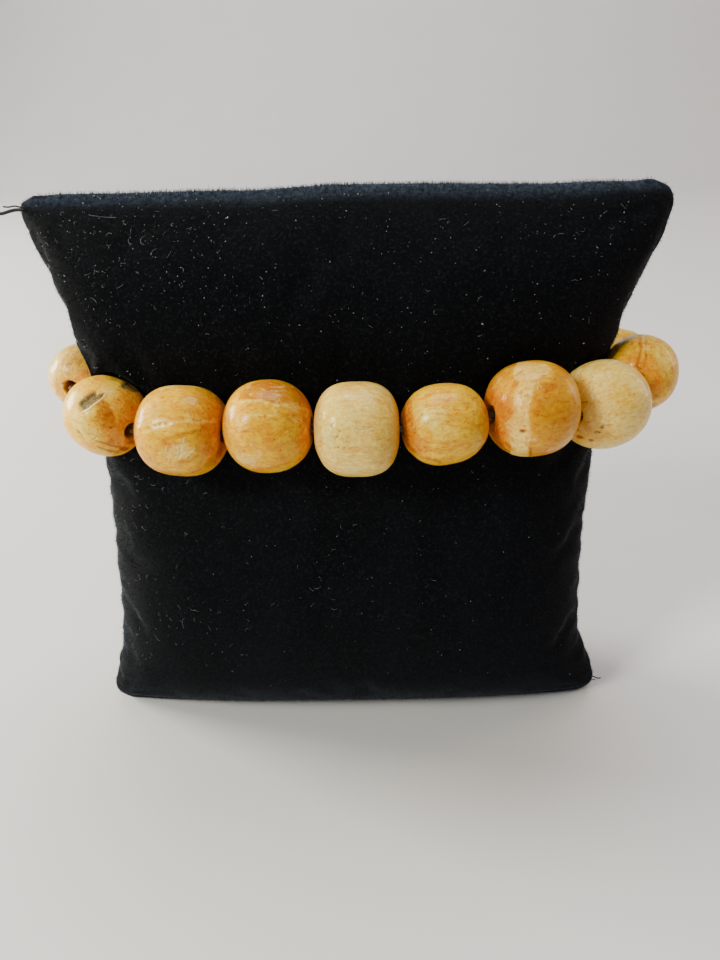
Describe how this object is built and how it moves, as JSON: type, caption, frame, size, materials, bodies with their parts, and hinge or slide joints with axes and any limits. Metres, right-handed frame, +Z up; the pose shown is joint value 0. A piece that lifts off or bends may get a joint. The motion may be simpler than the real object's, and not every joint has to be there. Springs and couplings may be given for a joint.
{
  "type": "beaded stretch bracelet on a velvet display pillow",
  "caption": "Stretch bracelet of rounded barrel beads on an elastic cord, ringed around a small stuffed velvet display pillow that stands upright.",
  "frame": {"origin": "on the surface that the pillow stands on, under the middle of the whole object's box", "axes": "+X to the right along the pillow's width as the viewer sees it, +Y away from the viewer through the pillow's thickness, +Z up"},
  "size_m": [0.0959, 0.05, 0.0898],
  "materials": {
    "velvet": "black velvet, soft pile with a bluish grey sheen at the edges",
    "bead_cream": "satin polish, cream with fine grain and tan flecks",
    "bead_tan": "satin polish, tan to honey yellow with fine grain",
    "bead_amber": "satin polish, amber orange with pale bands",
    "elastic": "dull, slightly translucent stretch cord"
  },
  "bodies": {
    "root": {"pillow": "velvet", "bead_01": "bead_cream", "bead_02": "bead_tan", "bead_03": "bead_amber", "bead_04": "bead_amber", "bead_05": "bead_cream", "bead_06": "bead_tan", "bead_07": "bead_amber", "bead_08": "bead_cream", "bead_09": "bead_tan", "bead_10": "bead_cream", "bead_11": "bead_tan", "bead_12": "bead_cream", "bead_13": "bead_amber", "bead_14": "bead_tan", "bead_15": "bead_cream", "bead_16": "bead_amber", "bead_17": "bead_tan", "elastic": "elastic"}
  },
  "joints": []
}
